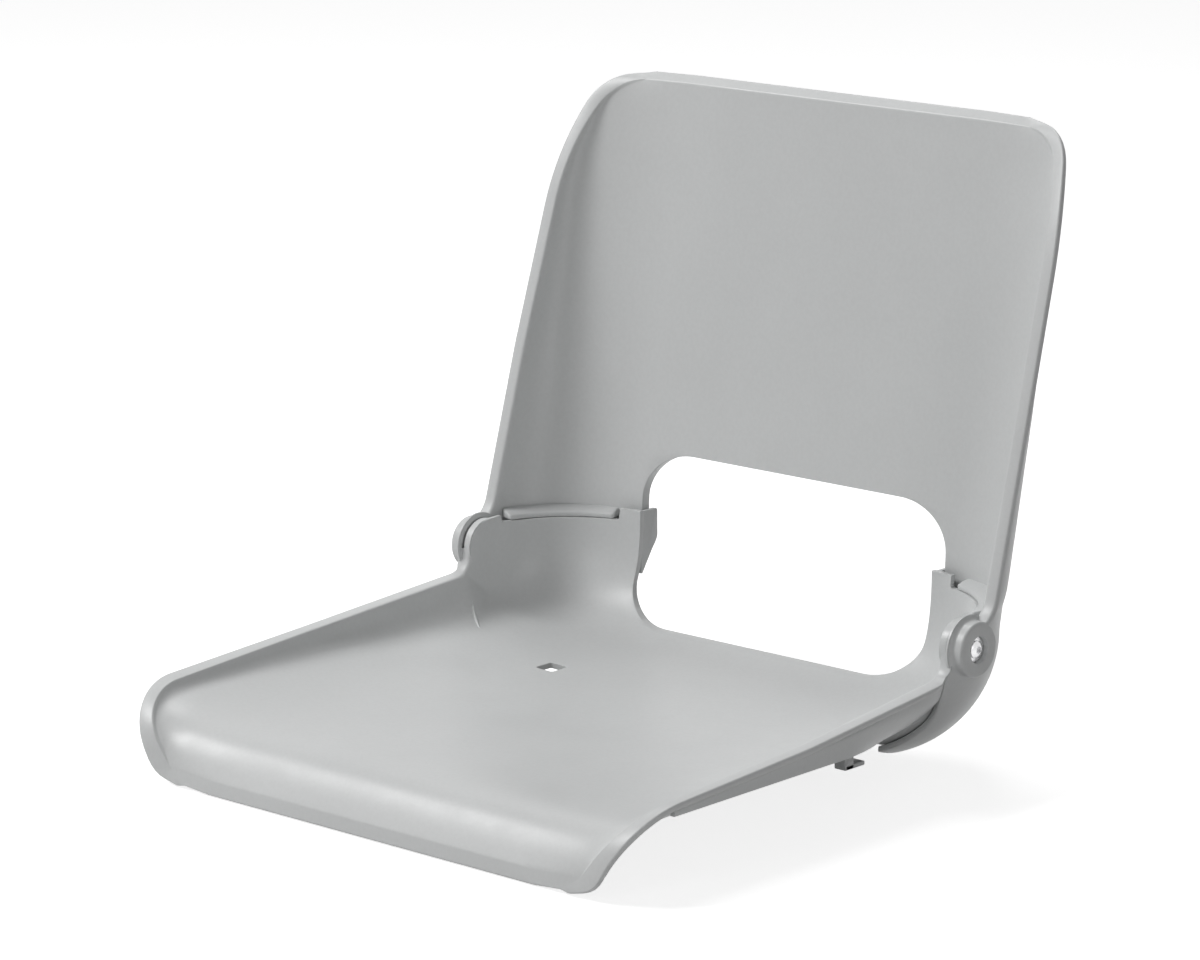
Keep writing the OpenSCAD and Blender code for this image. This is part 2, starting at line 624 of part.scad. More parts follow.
module mount_insert(sx, sy) {
    translate([sx * mount_pitch / 2, -hinge_y + sy * mount_pitch / 2, -hinge_z])
        color(brass) difference() {
            cylinder(r = mount_insert_r, h = insert_len, $fn = 48);
            translate([0, 0, -over]) cylinder(r = mount_r, h = insert_len + 2 * over, $fn = 48);
        }
}
module placed() {
    translate([0, hinge_y, hinge_z]) children();
}
module left() {
    placed() mirror([1, 0, 0]) children();
}

placed() seat_shell();
placed() backrest_shell();
left() hinge_screw();  // hinge_screw_left
placed() hinge_screw();  // hinge_screw_right
left() hinge_washer();  // hinge_washer_left
placed() hinge_washer();  // hinge_washer_right
left() hinge_bush();  // hinge_bush_left
placed() hinge_bush();  // hinge_bush_right
left() thrust_washer();  // thrust_washer_left
placed() thrust_washer();  // thrust_washer_right
left() hinge_insert();  // hinge_insert_left
placed() hinge_insert();  // hinge_insert_right
placed() mount_insert(-1, -1);  // mount_insert_front_left
placed() mount_insert(1, -1);  // mount_insert_front_right
placed() mount_insert(-1, 1);  // mount_insert_rear_left
placed() mount_insert(1, 1);  // mount_insert_rear_right
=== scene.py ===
# Folding shell seat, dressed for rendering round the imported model.
# Lengths are in millimetres about the hinge axis until a mesh is made: X across the seat,
# Y to the rear, Z up. A mesh is moved to the shared frame and turned into metres as it is made.
import bmesh
import bpy
import math
import numpy as np
from mathutils import Euler, Matrix, Vector
from mathutils.bvhtree import BVHTree


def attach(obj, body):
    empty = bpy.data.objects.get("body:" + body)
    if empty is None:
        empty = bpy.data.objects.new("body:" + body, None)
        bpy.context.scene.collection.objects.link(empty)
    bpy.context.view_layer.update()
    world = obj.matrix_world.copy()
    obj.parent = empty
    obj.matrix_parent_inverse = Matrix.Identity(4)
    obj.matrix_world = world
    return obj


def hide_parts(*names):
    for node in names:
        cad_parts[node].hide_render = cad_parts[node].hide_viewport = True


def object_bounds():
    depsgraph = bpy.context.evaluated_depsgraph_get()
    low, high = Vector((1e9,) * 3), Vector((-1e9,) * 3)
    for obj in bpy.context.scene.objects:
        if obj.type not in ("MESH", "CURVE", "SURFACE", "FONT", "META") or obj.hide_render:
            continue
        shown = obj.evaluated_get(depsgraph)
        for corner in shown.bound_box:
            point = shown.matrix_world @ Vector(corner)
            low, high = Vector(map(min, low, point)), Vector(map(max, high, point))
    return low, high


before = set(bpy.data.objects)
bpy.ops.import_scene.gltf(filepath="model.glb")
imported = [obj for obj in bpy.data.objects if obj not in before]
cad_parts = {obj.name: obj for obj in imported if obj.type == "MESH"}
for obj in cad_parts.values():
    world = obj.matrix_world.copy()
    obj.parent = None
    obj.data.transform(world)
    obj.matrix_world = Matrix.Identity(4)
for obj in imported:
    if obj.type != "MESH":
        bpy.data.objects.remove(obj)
cad_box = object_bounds()

# Sizes of part.scad
PAN_REACH, FRONT_DROP, FLOOR_DROP = 299.0, 84.5, 54.0
PAN_HALF_W, UPSTAND_Y, UPSTAND_H = 194.5, 65.0, 20.7
PAN_WALL, BACK_WALL, LIP_DEPTH = 3.4, 3.4, 3.8
SKIRT_DROP, BACK_RISE, BACK_RUN = 40.3, 291.7, 118.0
HALF_W, EAR_R, CORNER_R, CORNER_X, TURN_GAP = 205.0, 16.6, 75.0, 199.6, 0.8
WRAP_X, CHEEK_X = 150.0, 188.0
WINDOW_HALF, WINDOW_DROP, WINDOW_TOP, WINDOW_STEP = 117.4, 46.0, 58.5, 4.5
MOUNT_PITCH, HINGE_Z, HINGE_Y = 127.0, 66.0, 140.0
BALL_X = CORNER_X - CORNER_R
BACK_BALL_R = CORNER_R - BACK_WALL
SEAT_BALL_R = BACK_BALL_R - TURN_GAP
BALL_ROOM = 0.3
CHEEK_FACE_X = BALL_X + SEAT_BALL_R - BALL_ROOM - 0.75
EAR_FACE_X = CHEEK_FACE_X + 1.6
RECESS_X, RECESS_R = HALF_W - 4.2, 8.0
RAIL_R = 0.976 * EAR_R

SEAT_RIM = [
    (0.771 * PAN_HALF_W, -0.9973 * PAN_REACH, -0.982 * FRONT_DROP, 0),
    (0.838 * PAN_HALF_W, -0.9926 * PAN_REACH, -0.897 * FRONT_DROP, 0.01 * PAN_REACH),
    (PAN_HALF_W, -0.9933 * PAN_REACH, -0.432 * FRONT_DROP, 0.43 * FRONT_DROP),
    (PAN_HALF_W, -0.5 * PAN_REACH, -0.312 * FRONT_DROP, 0.02 * PAN_REACH),
    (0.987 * CHEEK_X + 0.013 * HALF_W, -RAIL_R, -0.93 * RAIL_R, 0.69 * RAIL_R),
    (CHEEK_X, -RAIL_R, RAIL_R, RAIL_R),
    (CHEEK_X, 0.5 * RAIL_R, 1.03 * RAIL_R, 0),
]
SEAT_LIP = [
    (0.766 * HALF_W, -0.9987 * PAN_REACH, -0.998 * FRONT_DROP, 0),
    (0.859 * HALF_W, -1.0013 * PAN_REACH, -0.947 * FRONT_DROP, 0.03 * PAN_REACH),
    (0.995 * HALF_W, -PAN_REACH, -0.408 * FRONT_DROP, 0.48 * FRONT_DROP),
    (0.9965 * HALF_W, -0.5 * PAN_REACH, -0.307 * FRONT_DROP, 0.02 * PAN_REACH),
    (0.972 * HALF_W, -1.09 * RAIL_R, -0.95 * RAIL_R, 0.55 * RAIL_R),
    (BALL_X + 0.96 * SEAT_BALL_R, -RAIL_R, RAIL_R, RAIL_R),
    (BALL_X + 0.96 * SEAT_BALL_R, 0.5 * RAIL_R, 1.03 * RAIL_R, 0),
]
SEAT_FLOOR = [
    (0, -0.9987 * PAN_REACH, -FRONT_DROP, 0),
    (0, -0.9926 * PAN_REACH, -0.906 * FRONT_DROP, 0.003 * PAN_REACH),
    (0, -0.9348 * PAN_REACH, -0.922 * FLOOR_DROP, 0.047 * PAN_REACH),
    (0, -0.4 * PAN_REACH, -1.048 * FLOOR_DROP, 0.167 * PAN_REACH),
    (0, UPSTAND_Y, -0.993 * FLOOR_DROP, 0.692 * UPSTAND_Y),
    (0, UPSTAND_Y, 0.85 * UPSTAND_H, 0.15 * UPSTAND_H),
    (0, UPSTAND_Y, 1.2 * UPSTAND_H, 0),
]
SEAT_CORNER = [0.1, 0.165, 0.41, 0.77, 0.515, 0.355, 0.35]
SEAT_DEPTH = [0.78, 0.78, 0.9, 0.92, 0.88, 0.9, 0.96]
SEAT_SQUARE = [0.5, 0.5, 1.05, 1.3, 1.15, 1, 1]
SEAT_LIP_DEEP = [1, 1, 1, 1, 0.7, 0.15, 0.15]
SEAT_COUNTS = [6, 4, 8, 16, 14, 4, 18, 20, 6, 10]

BACK_RIM = [
    (0.698 * HALF_W, 0.994 * BACK_RUN, 0.9983 * BACK_RISE, 0),
    (0.732 * HALF_W, 0.949 * BACK_RUN, 0.9825 * BACK_RISE, 0.007 * BACK_RISE),
    (0.849 * HALF_W, 0.9025 * BACK_RUN, 0.972 * BACK_RISE, 0.068 * BACK_RISE),
    (0.934 * HALF_W, 0.678 * BACK_RUN, 0.826 * BACK_RISE, 0.11 * BACK_RISE),
    (0.951 * HALF_W, 0.364 * BACK_RUN, 0.418 * BACK_RISE, 0.017 * BACK_RISE),
    (0.957 * HALF_W, 0.76 * EAR_R, 1.054 * EAR_R, 0.54 * EAR_R),
    (0.957 * HALF_W, 0, 0.72 * EAR_R, 0),
]
BACK_LIP = [
    (0.722 * HALF_W, 0.996 * BACK_RUN, 0.9976 * BACK_RISE, 0),
    (0.78 * HALF_W, 0.9746 * BACK_RUN, 0.9925 * BACK_RISE, 0.017 * BACK_RISE),
    (0.893 * HALF_W, 0.8856 * BACK_RUN, 0.984 * BACK_RISE, 0.07 * BACK_RISE),
    (0.9756 * HALF_W, 0.6695 * BACK_RUN, 0.823 * BACK_RISE, 0.12 * BACK_RISE),
    (0.994 * HALF_W, 0.364 * BACK_RUN, 0.418 * BACK_RISE, 0.017 * BACK_RISE),
    (HALF_W, 0.783 * EAR_R, 1.072 * EAR_R, 0.54 * EAR_R),
    (0.998 * HALF_W, 0, 0.72 * EAR_R, 0),
]
BACK_FLOOR = [
    (0, BACK_RUN, BACK_RISE, 0),
    (0, 0.9517 * BACK_RUN, 0.984 * BACK_RISE, 0.003 * BACK_RISE),
    (0, 0.9296 * BACK_RUN, 0.93 * BACK_RISE, 0.036 * BACK_RISE),
    (0, 0.8814 * BACK_RUN, 0.809 * BACK_RISE, 0.08 * BACK_RISE),
    (0, 0.7458 * BACK_RUN, 0.418 * BACK_RISE, 0.017 * BACK_RISE),
    (0, 1.0056 * BACK_BALL_R, 0.096 * BACK_RISE, 0.031 * BACK_RISE),
    (0, 1.002 * BACK_BALL_R, 0.014 * BACK_RISE, 0),
]
BACK_CORNER = [0.14, 0.17, 0.26, 0.35, 0.371, 0.371, 0.36]
BACK_DEPTH = [0.78, 0.78, 0.88, 0.91, 0.92, 0.92, 0.94]
BACK_SQUARE = [0.5, 0.5, 0.9, 1, 1, 1, 1]
BACK_COUNTS = [4, 3, 4, 14, 4, 16, 10, 4, 10, 12, 2]
WRAP_SWEEP, WRAP_LEAD, WRAP_ROWS = 111.4, 38.0, 40
HUB_R = 0.36 * EAR_R
STEP_ANGLE, SEAT_CUT_Y = -124.5, -19.8

# Points across a half section: at the rim, round the corner, over the flat
RIM_STEPS, ROUND_STEPS, FLAT_STEPS = 3, 36, 6
RIM_COL = RIM_STEPS + 4
STRIDE = 4
RIM_DRAFT = 0.6

# Roundings of a half section: inner top, lip's edge, lip's foot, and root under the lip
TOP_CUT, EDGE_CUT, FOOT_CUT, ROOT_CUT = 2.2, 1.5, 0.9, 1.6


def unit(v):
    return v / np.linalg.norm(v)


def mix(a, b, t):
    return a + (b - a) * t


def point(corner):
    return np.array(corner[:3], float)


def toward(a, b, d):
    return point(a) + unit(point(b) - point(a)) * d


def conic(a, p, b, t):
    """Point on the rounding from a to b inside the corner p, an arc where both legs are alike."""
    w = math.sqrt(max(0.0, 1 + float(unit(p - a) @ unit(b - p))) / 2)
    k = ((1 - t) ** 2, 2 * w * t * (1 - t), t * t)
    return (k[0] * a + k[1] * p + k[2] * b) / sum(k)


def rail_at(rail, station):
    part, t = station
    if part % 2:
        i = (part + 1) // 2
        return conic(toward(rail[i], rail[i - 1], rail[i][3]), point(rail[i]),
                     toward(rail[i], rail[i + 1], rail[i][3]), t)
    i = part // 2
    a = point(rail[0]) if i == 0 else toward(rail[i], rail[i + 1], rail[i][3])
    b = point(rail[-1]) if i == len(rail) - 2 else toward(rail[i + 1], rail[i], rail[i + 1][3])
    return mix(a, b, t)


def stations(counts):
    return [(k, j / n) for k, n in enumerate(counts) for j in range(n)] + [(len(counts) - 1, 1.0)]


def place(station, n):
    part, t = station
    if part % 2:
        return (part + 1) / 2 - 0.25 + t / 2
    i = part / 2
    return mix(0 if i == 0 else i + 0.25, n - 1 if i == n - 2 else i + 0.75, t)


def smooth(shares, s):
    n = len(shares)
    i = min(int(s), n - 2)
    f = s - i
    a, b, c, d = shares[max(i - 1, 0)], shares[i], shares[i + 1], shares[min(i + 2, n - 1)]
    return (2 * b + (c - a) * f + (2 * a - 5 * b + 4 * c - d) * f * f
            + (3 * b - a - 3 * c + d) * f ** 3) / 2


def half_section(rim, floor_pt, corner_w, depth_share, square):
    a, c = rim[1:], floor_pt[1:]
    d = np.linalg.norm(c - a)
    n = (c - a) / d
    r2 = depth_share * d
    edge = rim[0] - RIM_DRAFT
    rows = []
    for k in range(ROUND_STEPS + 1):
        t = math.pi / 2 * k / ROUND_STEPS
        p = a + n * (d - r2 + r2 * math.sin(t) ** (1 / square))
        rows.append((edge - corner_w + corner_w * max(0.0, math.cos(t)) ** (1 / square), p[0], p[1]))
    rows += [((edge - corner_w) * (1 - k / FLAT_STEPS), c[0], c[1]) for k in range(1, FLAT_STEPS + 1)]
    lead = [mix(rim, np.array(rows[0]), k / RIM_STEPS) for k in range(RIM_STEPS)]
    return np.array([list(p) for p in lead] + [list(p) for p in rows])


def shell_rows(rim, floor_rail, corners, depths, squares, counts):
    out = []
    for st in stations(counts):
        s = place(st, len(rim))
        out.append(half_section(rail_at(rim, st), rail_at(floor_rail, st),
                                smooth(corners, s) * PAN_HALF_W, smooth(depths, s), smooth(squares, s)))
    return np.array(out)


def grid_normals(g, band):
    """Normals of a grid of rows, taken over several steps. The end rows and the rim borrow theirs."""
    n, m = g.shape[:2]
    k = np.clip(np.arange(n), band, n - 1 - band)
    h = np.maximum(np.arange(m), RIM_COL)
    up, down = np.minimum(k + STRIDE, n - 1), np.maximum(k - STRIDE, 0)
    dv = g[up][:, h] - g[down][:, h]
    du = g[k][:, np.minimum(h + STRIDE, m - 1)] - g[k][:, h - STRIDE]
    c = np.cross(dv, du)
    c /= np.linalg.norm(c, axis=2)[:, :, None]
    for _ in range(3):
        c[1:-1] = (c[:-2] + 2 * c[1:-1] + c[2:]) / 4
        c[:, 1:-1] = (c[:, :-2] + 2 * c[:, 1:-1] + c[:, 2:]) / 4
    return c / np.linalg.norm(c, axis=2)[:, :, None]


def fillet(a, p, b, cut, n):
    """n points round the corner p between a and b."""
    u, v = a - p, b - p
    lu, lv = np.linalg.norm(u), np.linalg.norm(v)
    if min(lu, lv) < 1e-6:
        return [p] * n
    c = min(cut, 0.42 * lu, 0.42 * lv)
    return [conic(p + u / lu * c, p, p + v / lv * c, k / (n - 1)) for k in range(n)]


def half_loops(g, lips, wall, depths, side, band):
    """Closed half loop of each row: inner face from the middle out, rolled lip, outer face."""
    normal = grid_normals(g, band) * side
    n, m = g.shape[:2]
    out = []
    for i in range(n):
        t = g[min(i + STRIDE, n - 1)][0] - g[max(i - STRIDE, 0)][0]
        q = unit(np.array([0.0, t[2], -t[1]])) * -side
        outer = g[i] + normal[i] * wall
        under = outer[0] + q * depths[i] * (1 - normal[i][0] @ q)
        lip, low = lips[i], lips[i] + q * depths[i]
        top = fillet(g[i][RIM_STEPS], g[i][0], lip, TOP_CUT, 5)
        inner = g[i].copy()
        for j in range(RIM_STEPS):
            inner[j] = mix(top[0], g[i][RIM_STEPS], j / RIM_STEPS)
        edge = fillet(g[i][0], lip, low, EDGE_CUT, 5)
        foot = fillet(lip, low, under, FOOT_CUT, 4)
        root = fillet(low, under, outer[RIM_COL], ROOT_CUT, 4)
        for j in range(RIM_COL):
            outer[j] = mix(root[3], outer[RIM_COL], j / RIM_COL)
        out.append(np.array(list(inner[::-1]) + top[1:] + edge + foot + root[:3] + list(outer)))
    return np.array(out), m


def round_end(loops, m, first, radius, steps=4):
    """Rings that round off the free edge at one end of the loops, in place of its last row."""
    base, nxt = (loops[0], loops[1]) if first else (loops[-1], loops[-2])
    count = len(base)
    partner = base.copy()
    lips = count - 2 * m
    for k in range(m):
        partner[k], partner[count - 1 - k] = base[count - 1 - k], base[k]
    middle = base[m:m + lips].mean(axis=0)
    partner[m:m + lips] = middle
    d = base - nxt
    length = np.linalg.norm(d, axis=1)[:, None]
    across = partner - base
    width = np.linalg.norm(across, axis=1)[:, None]
    r = np.minimum(radius, np.minimum(0.8 * length, 0.45 * width))
    d = d / np.maximum(length, 1e-9)
    across = across / np.maximum(width, 1e-9)
    rings = []
    for k in range(steps + 1):
        a = math.pi / 2 * k / steps
        rings.append(base - d * r + d * r * math.sin(a) + across * r * (1 - math.cos(a)))
    return np.array(rings[::-1]) if first else np.array(rings)


def eased(grid, first, final, passes):
    """Grid with its rows between two places evened out, less and less towards the rim."""
    g = grid.copy()
    n, m = g.shape[:2]
    rows = np.clip(np.minimum(np.arange(n) - first, final - np.arange(n)) / 6.0, 0, 1)
    columns = np.clip((np.arange(m) - RIM_COL) / 12.0, 0, 1)
    share = (rows[:, None] * columns[None, :])[1:-1, :, None]
    for _ in range(passes):
        g[1:-1] += share * ((g[:-2] + 2 * g[1:-1] + g[2:]) / 4 - g[1:-1])
    return g


def full_loops(half):
    flip = np.array([-1.0, 1.0, 1.0])
    return np.array([np.concatenate([h, h[-2:0:-1] * flip]) for h in half])


def shell_faces(loops, m):
    rows, count = loops.shape[:2]
    half = count // 2 + 1
    faces = []
    for i in range(rows - 1):
        for j in range(count):
            a, b = i * count + j, i * count + (j + 1) % count
            faces.append((a, b, b + count, a + count))
    lips = half - 2 * m
    for base in (0, (rows - 1) * count):
        for side in (0, 1):
            def at(k):
                return base + (k if side == 0 or k in (0, half - 1) else count - k)
            for k in range(m - 1):
                faces.append((at(k), at(k + 1), at(half - 2 - k), at(half - 1 - k)))
            faces.append(tuple(at(k) for k in range(m - 1, m + lips + 1)))
    return faces


def tube_faces(rings, count, looped=False):
    """Quads between rings of points, joined into a loop or closed with a flat face at each end."""
    faces = []
    for k in range(rings if looped else rings - 1):
        a, b = k * count, (k + 1) % rings * count
        for j in range(count):
            faces.append((a + j, a + (j + 1) % count, b + (j + 1) % count, b + j))
    if not looped:
        faces += [tuple(range(count)), tuple(range((rings - 1) * count, rings * count))]
    return faces


def make_object(name, verts, faces):
    mesh = bpy.data.meshes.new(name)
    moved = (np.asarray(verts, float) + (0.0, HINGE_Y, HINGE_Z)) / 1000
    mesh.from_pydata([tuple(v) for v in moved], [], faces)
    bm = bmesh.new()
    bm.from_mesh(mesh)
    bmesh.ops.recalc_face_normals(bm, faces=bm.faces)
    bm.to_mesh(mesh)
    bm.free()
    obj = bpy.data.objects.new(name, mesh)
    bpy.context.scene.collection.objects.link(obj)
    return obj


def applied(obj):
    """Turns an object's modifiers into its mesh."""
    bpy.context.view_layer.update()
    graph = bpy.context.evaluated_depsgraph_get()
    mesh = bpy.data.meshes.new_from_object(obj.evaluated_get(graph))
    obj.modifiers.clear()
    obj.data = mesh
    return obj


def carve(obj, cutters):
    for cutter in cutters:
        mod = obj.modifiers.new("carve", "BOOLEAN")
        mod.operation = "DIFFERENCE"
        mod.solver = "EXACT"
        mod.object = cutter
    applied(obj)
    for cutter in cutters:
        bpy.data.objects.remove(cutter)


def soften(obj, width):
    """Rounds the sharp edges by a small width in millimetres."""
    mod = obj.modifiers.new("soften", "BEVEL")
    mod.width = width / 1000
    mod.segments = 2
    mod.limit_method = "ANGLE"
    mod.angle_limit = math.radians(50.0)
    mod.harden_normals = False
    return applied(obj)


def finish_piece(obj, body, material):
    obj.data.materials.clear()
    obj.data.materials.append(material)
    obj.data.shade_smooth()
    obj.data.set_sharp_from_angle(angle=math.radians(38.0))
    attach(obj, body)


def prism(name, outline, axis, low, high):
    """Prism along one axis through an outline of the two other coordinates."""
    n = len(outline)
    verts = []
    for along in (low, high):
        for a, b in outline:
            corner = {"x": (along, a, b), "y": (a, along, b), "z": (a, b, along)}
            verts.append(corner[axis])
    faces = [tuple(range(n)), tuple(range(2 * n - 1, n - 1, -1))]
    faces += [(k, (k + 1) % n, n + (k + 1) % n, n + k) for k in range(n)]
    return make_object(name, verts, faces)


def revolve(name, profile, steps=96):
    """Solid turned about the hinge axis from a closed profile of (radius, x)."""
    verts = []
    for k in range(steps):
        a = 2 * math.pi * k / steps
        verts += [(x, r * math.cos(a), r * math.sin(a)) for r, x in profile]
    return make_object(name, verts, tube_faces(steps, len(profile), True))


def rounded(outline, cuts, n=5):
    """Outline with its corners rounded. cuts gives one length for all, or one for each corner."""
    pts = [np.array([p[0], p[1], 0.0]) for p in outline]
    out = []
    for i, p in enumerate(pts):
        cut = cuts[i] if isinstance(cuts, (list, tuple)) else cuts
        if cut <= 0:
            out.append(tuple(p[:2]))
            continue
        out += [tuple(q[:2]) for q in fillet(pts[i - 1], p, pts[(i + 1) % len(pts)], cut, n)]
    return out


def mirrored_copy(obj, name):
    mesh = obj.data.copy()
    for v in mesh.vertices:
        v.co.x = -v.co.x
    mesh.flip_normals()
    other = bpy.data.objects.new(name, mesh)
    bpy.context.scene.collection.objects.link(other)
    return other


def merged(name, objects):
    """One object with the meshes of several."""
    bm = bmesh.new()
    for o in objects:
        bm.from_mesh(o.data)
    mesh = bpy.data.meshes.new(name)
    bm.to_mesh(mesh)
    bm.free()
    for o in objects:
        bpy.data.objects.remove(o)
    obj = bpy.data.objects.new(name, mesh)
    bpy.context.scene.collection.objects.link(obj)
    return obj


def both_sides(name, right_side):
    """One object with the pieces of the right side and their mirror images."""
    return merged(name, right_side + [mirrored_copy(o, o.name + "_l") for o in right_side])


def reflected(half):
    """Half of an outline followed by its mirror image."""
    return half + [(-x, z) for x, z in half[::-1]]


def window_outline(half, z_end, steps=20):
    """Half of a window's outline, from its straight side round the elliptical corner to X = 0."""
    rx, rz = 0.32 * half, 0.52 * abs(z_end)
    s = 1 if z_end > 0 else -1
    return [(half - rx + rx * math.cos(math.pi / 2 * k / steps),
             z_end - s * rz + s * rz * math.sin(math.pi / 2 * k / steps)) for k in range(steps + 1)]


# Materials

def node_material(name):
    mat = bpy.data.materials.new(name)
    mat.use_nodes = True
    tree = mat.node_tree
    return mat, tree.nodes, tree.links, tree.nodes["Principled BSDF"]


def new_node(nodes, kind, values, **settings):
    """New node with its own settings and the values of its sockets."""
    node = nodes.new(kind)
    for key, value in settings.items():
        setattr(node, key, value)
    for socket, value in values.items():
        node.inputs[socket].default_value = value
    return node


def noise(nodes, links, coords, values):
    node = new_node(nodes, "ShaderNodeTexNoise", values)
    links.new(coords.outputs["Object"], node.inputs["Vector"])
    return node


def remapped(nodes, links, source, low, high, to_low, to_high):
    values = {"From Min": low, "From Max": high, "To Min": to_low, "To Max": to_high}
    node = new_node(nodes, "ShaderNodeMapRange", values)
    links.new(source.outputs["Fac"], node.inputs["Value"])
    return node.outputs["Result"]


def tint(nodes, links, base, shade, bsdf):
    """Base colour times a shade near one. The mix node's colour sockets have no names of their own."""
    first, second, result = 6, 7, 2
    color = new_node(nodes, "ShaderNodeMix", {}, data_type="RGBA", blend_type="MULTIPLY")
    color.inputs["Factor"].default_value = 1.0
    color.inputs[first].default_value = (*base, 1)
    links.new(shade, color.inputs[second])
    links.new(color.outputs[result], bsdf.inputs["Base Color"])


def add_bump(nodes, links, height, strength, distance, bsdf):
    bump = new_node(nodes, "ShaderNodeBump", {"Strength": strength, "Distance": distance})
    links.new(height.outputs["Fac"], bump.inputs["Height"])
    links.new(bump.outputs["Normal"], bsdf.inputs["Normal"])


def plastic_material(name, base, rough):
    """Satin moulded plastic: fine grain, faint clouding and specks, and an uneven gloss."""
    mat, nodes, links, bsdf = node_material(name)
    coords = nodes.new("ShaderNodeTexCoord")
    cloud = noise(nodes, links, coords, {"Scale": 9.0, "Detail": 3.0})
    speck = noise(nodes, links, coords, {"Scale": 420.0, "Detail": 2.0})
    both = new_node(nodes, "ShaderNodeMath", {}, operation="MULTIPLY")
    links.new(remapped(nodes, links, cloud, 0.3, 0.7, 0.975, 1.02), both.inputs[0])
    links.new(remapped(nodes, links, speck, 0.35, 0.65, 0.985, 1.01), both.inputs[1])
    tint(nodes, links, base, both.outputs["Value"], bsdf)
    scuff = noise(nodes, links, coords, {"Scale": 38.0, "Detail": 6.0, "Roughness": 0.7})
    gloss = remapped(nodes, links, scuff, 0.3, 0.7, rough - 0.05, rough + 0.06)
    links.new(gloss, bsdf.inputs["Roughness"])
    grain = noise(nodes, links, coords, {"Scale": 1500.0, "Detail": 3.0, "Roughness": 0.6})
    add_bump(nodes, links, grain, 0.12, 0.0002, bsdf)
    bsdf.inputs["Specular IOR Level"].default_value = 0.42
    bsdf.inputs["IOR"].default_value = 1.49
    return mat


def metal_material(name, base, rough, scale):
    """Plated or turned metal with a fine uneven sheen."""
    mat, nodes, links, bsdf = node_material(name)
    coords = nodes.new("ShaderNodeTexCoord")
    grain = noise(nodes, links, coords, {"Scale": scale, "Detail": 4.0})
    gloss = remapped(nodes, links, grain, 0.3, 0.7, rough - 0.06, rough + 0.08)
    links.new(gloss, bsdf.inputs["Roughness"])
    tint(nodes, links, base, remapped(nodes, links, grain, 0.25, 0.75, 0.92, 1.05), bsdf)
    add_bump(nodes, links, grain, 0.08, 0.0001, bsdf)
    bsdf.inputs["Metallic"].default_value = 1.0
    return mat


shell_mat = plastic_material("moulded_grey", (0.60, 0.61, 0.61), 0.37)
nylon_mat = plastic_material("nylon", (0.75, 0.73, 0.68), 0.38)
steel_mat = metal_material("zinc_steel", (0.76, 0.76, 0.77), 0.26, 300.0)
brass_mat = metal_material("turned_brass", (0.70, 0.52, 0.24), 0.32, 400.0)


def ease(t):
    return t * t * (3 - 2 * t)


# Seat pan
seat_grid = shell_rows(SEAT_RIM, SEAT_FLOOR, SEAT_CORNER, SEAT_DEPTH, SEAT_SQUARE, SEAT_COUNTS)
seat_grid = eased(seat_grid, sum(SEAT_COUNTS[:2]) + 2, len(seat_grid) - 8, 40)
seat_stations = stations(SEAT_COUNTS)
seat_lips = [rail_at(SEAT_LIP, st) for st in seat_stations]
seat_depths = [LIP_DEPTH * smooth(SEAT_LIP_DEEP, place(st, 7)) for st in seat_stations]
seat_half, cols = half_loops(seat_grid, seat_lips, PAN_WALL, seat_depths, -1, 8)
seat_half = np.concatenate([round_end(seat_half, cols, True, 1.1), seat_half[1:-1],
                            round_end(seat_half, cols, False, 0.9)])

# Behind the skirt's step the pan keeps inside the ball that the back turns round.
# Below the rim it draws in gradually ahead of the step, so that the wall shows no crease.
# The carving below fails with some other values of ROOM_WALL: the pan came out empty with 2.9.
ROOM_Y, ROOM_ANGLE, DRAW_IN, ROOM_WALL = SEAT_CUT_Y + 0.6, STEP_ANGLE + 2, 16, 2.6
ball_centre = np.array([BALL_X, 0.0, 0.0])
for row in seat_half:
    for k, p in enumerate(row):
        if p[0] < BALL_X:
            continue
        ahead = ROOM_Y - p[1]
        if p[2] < 0:
            turn = math.radians(ROOM_ANGLE) - math.atan2(p[2], p[1])
            ahead = max(ahead, math.hypot(p[1], p[2]) * turn)
        span = 0.01 + DRAW_IN * min(max((-p[2] - 4) / 10, 0), 1)
        share = ease(min(max(1 - ahead / span, 0), 1))
        far = np.linalg.norm(p - ball_centre)
        room = SEAT_BALL_R - BALL_ROOM - (ROOM_WALL if k < cols else 0)
        if far > room:
            p[:] = ball_centre + (p - ball_centre) * mix(far, room, share) / far
seat_loops = full_loops(seat_half)
pan = make_object("seat_pan", seat_loops.reshape(-1, 3), shell_faces(seat_loops, cols))

# Window, drain hole and stop notches
CUT_TOP, NOTCH_Z, NOTCH_INNER, NOTCH_REAR = UPSTAND_H + 4, UPSTAND_H - 7.8, 133.4, 82.4
DRAIN_X, DRAIN_Y, DRAIN_HALF = -95, -42, 7
outline = reflected([(WINDOW_HALF, CUT_TOP)] + window_outline(WINDOW_HALF, -WINDOW_DROP))
cutters = [prism("cut", outline, "y", 0, 90)]
left, right = DRAIN_X - DRAIN_HALF, DRAIN_X + DRAIN_HALF
near, back = DRAIN_Y - DRAIN_HALF, DRAIN_Y + DRAIN_HALF
drain = rounded([(left, near), (right, near), (right, back), (left, back)], 1.2)
cutters.append(prism("cut", drain, "z", -67, -30))
for s in (-1, 1):
    lo, hi = sorted((s * NOTCH_INNER, s * HALF_W))
    box = rounded([(lo, NOTCH_Z), (hi, NOTCH_Z), (hi, CUT_TOP), (lo, CUT_TOP)],
                  [1.6 if lo > 0 else 0, 1.6 if lo < 0 else 0, 0, 0])
    cutters.append(prism("cut", box, "y", 0.64 * EAR_R, NOTCH_REAR))
carve(pan, cutters)
soften(pan, 0.55)
finish_piece(pan, "seat", shell_mat)
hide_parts("seat_shell")


